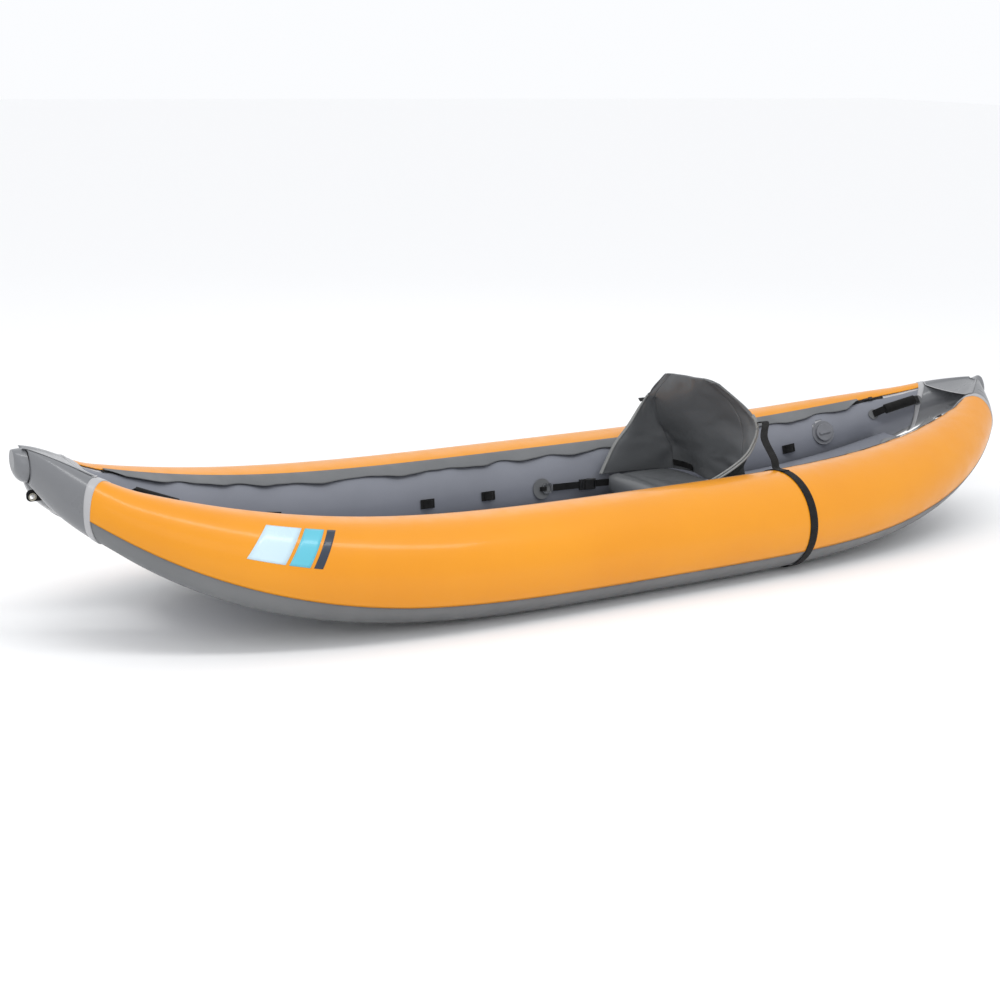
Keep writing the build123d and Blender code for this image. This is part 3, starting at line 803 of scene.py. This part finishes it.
def seat_base_outline(turn, size_x, size_y):
    """Rounded rectangle in plan: point in direction turn, as a superellipse."""
    power = 1 / 3
    x = math.copysign(abs(math.cos(turn)) ** power, math.cos(turn))
    y = math.copysign(abs(math.sin(turn)) ** power, math.sin(turn))
    return x * size_x, y * size_y


def cushion_height(x, y, share, front, half_height):
    """Height of the base's skin over its middle: a soft dome, a rolled front edge and slack folds."""
    dome = half_height * (1 - 0.35 * share ** 10) - 0.001
    roll = 0.006 * math.exp(-((x - front - 0.028) / 0.016) ** 2)
    dent = 0.006 * math.exp(-((x - front - 0.062) / 0.018) ** 2)
    crumple = 0.0035 * noise.noise(Vector((x * 14, y * 14, 1.0)))
    lift = dome + (roll - dent) * (0.3 + 0.7 * (1 - share ** 6)) + crumple * (1 - share ** 8)
    return min(lift, half_height)


def build_seat_base(m):
    """Closed cushion made of rings, from the middle of its top to the middle of its underside."""
    low, high = (Vector(v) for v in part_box("seat_base_cushion"))
    high.z += 0.008
    centre = (low + high) / 2
    half = (high - low) / 2
    rings, around = 15, 96
    shares = [(r + 1) / rings for r in range(rings)]
    verts = []
    for side, order in ((1, shares), (-1, reversed(shares))):
        for share in order:
            for c in range(around):
                x, y = seat_base_outline(2 * math.pi * c / around, half.x - 0.002, half.y - 0.002)
                place = Vector((centre.x + x * share, y * share, centre.z))
                place.z += side * cushion_height(place.x, place.y, share, low.x, half.z)
                verts.append(place)
    last = (2 * rings - 1) * around
    top, bottom = len(verts), len(verts) + 1
    verts += [centre + Vector((0, 0, half.z - 0.001)), centre - Vector((0, 0, half.z - 0.001))]
    faces = grid_faces(2 * rings, around, wrap=True)
    faces += [(top, (c + 1) % around, c) for c in range(around)]
    faces += [(bottom, last + c, last + (c + 1) % around) for c in range(around)]
    base = make_object("seat_base_pad", verts, faces, m["seat"])
    inflate(base, 1.0, 0.004)
    settle(base, "hull", "seat_fabric", "seat_base_cushion")


def back_depth(across, down):
    """The back's padding, thin at all its edges."""
    return 0.006 + 0.020 * (1 - abs(across - 2) ** 6) * min(1, down * 3, (4.05 - down) * 4)


def wing_depth(across, down):
    return 0.006


def build_seat(m):
    build_seat_base(m)
    cloths = (m["seat"], m["seat_dark"])
    pad = shell_piece("seat_back_pad", 1.0, 3.0, 44, back_depth, cloths)
    settle(pad, "seat_back", "seat_fabric", "seat_back_cushion")
    for word, low, high, edge in (("starboard", 0.0, 1.0, 0.0), ("port", 3.0, 4.0, 4.0)):
        wing = shell_piece(f"seat_side_{word}", low, high, 22, wing_depth, cloths)
        settle(wing, None, "seat_fabric", f"seat_wing_{word}")
        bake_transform(wing)
        for number, behind in enumerate((0.0005, 0.0075)):
            path = [seat_point(edge, 0.9 + 3.1 * i / 60, behind) for i in range(61)]
            bead = round_tube(f"seat_piping_{word}_{number}", path, 0.0032, m["piping"])
            settle(bead, None, "seat_fabric")
            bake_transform(bead)
    label_path = [seat_point(1.0 + 0.11 * i, 3.62 + 0.01 * i, -0.004) for i in range(6)]
    label = ribbon("seat_label", label_path, Vector((-0.2, 0, 1)), 0.018, 0.0016, m["webbing"])
    settle(label, "seat_back", "webbing")


# ------------------------------------------------------------------ straps
def build_straps(m):
    """Webbing loops round both tubes, and the straps that lead from them to the seat's back."""
    along = Vector((1, 0, 0))
    loops = []
    for word, side in SIDES.items():
        path = [surf(STRAP_X, 360 * i / 72, 0.0021, side) for i in range(73)]
        loops.append(ribbon(f"loop_{word}", path, along, WEBBING_WIDTH, 0.0017, m["webbing"]))
        top = surf(STRAP_X, 100, 0.004, side)
        tie = seat_point(0.0 if side > 0 else 4.0, 1.15, 0.010)
        points = [tie, tie + Vector((0.012, 0.020 * side, 0.004)),
                  Vector((0.484, 0.240 * side, 0.345)), Vector((0.482, top.y - 0.018 * side, top.z + 0.022)),
                  top, surf(STRAP_X, 84, 0.0042, side)]
        path = smooth_path(points, 40)
        lead = ribbon(f"seat_lead_strap_{word}", path, along, WEBBING_WIDTH, 0.002, m["webbing"])
        settle(lead, None, "webbing", f"rear_strap_{word}")
        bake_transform(lead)
    settle(join("tube_strap_loops", loops), "hull", "webbing", "rear_strap_loops")


# ------------------------------------------------------------------ CAD nodes that stay
def paint(piece, material):
    """Every slot of the node takes this material."""
    if not piece.material_slots:
        piece.data.materials.append(material)
    for slot in piece.material_slots:
        slot.material = material


def paint_nodes(m):
    rules = [
        (("air_cell", "floor_air_cell"), "film"),
        (("bow_nose", "stern_nose", "bow_deck", "stern_deck"), "cap"),
        (("drain",), "base"),
        (("zippers",), "zip"),
        (("zipper_slider",), "black_metal"),
        (("valve_body", "valve_cap"), "valve"),
        (("valve_button",), "button"),
        (("valve_spring", "seat_anchor_d"), "steel"),
        (("tie_eye_grommets",), "brass"),
        (("buckle",), "plastic"),
        (("stern_handle_grip", "bow_handle_grip"), "foam"),
        (("seat_anchor_patches", "handle_patches"), "flap"),
    ]
    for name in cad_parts:
        key = "webbing"
        for starts, material in rules:
            if name.startswith(starts):
                key = material
        paint(bpy.data.objects[name], m[key])


def main():
    materials = make_materials()
    add_camera()
    add_studio()
    paint_nodes(materials)
    build_hull(materials)
    build_ends(materials)
    build_graphic(materials)
    build_floor(materials)
    build_seat(materials)
    build_straps(materials)


main()
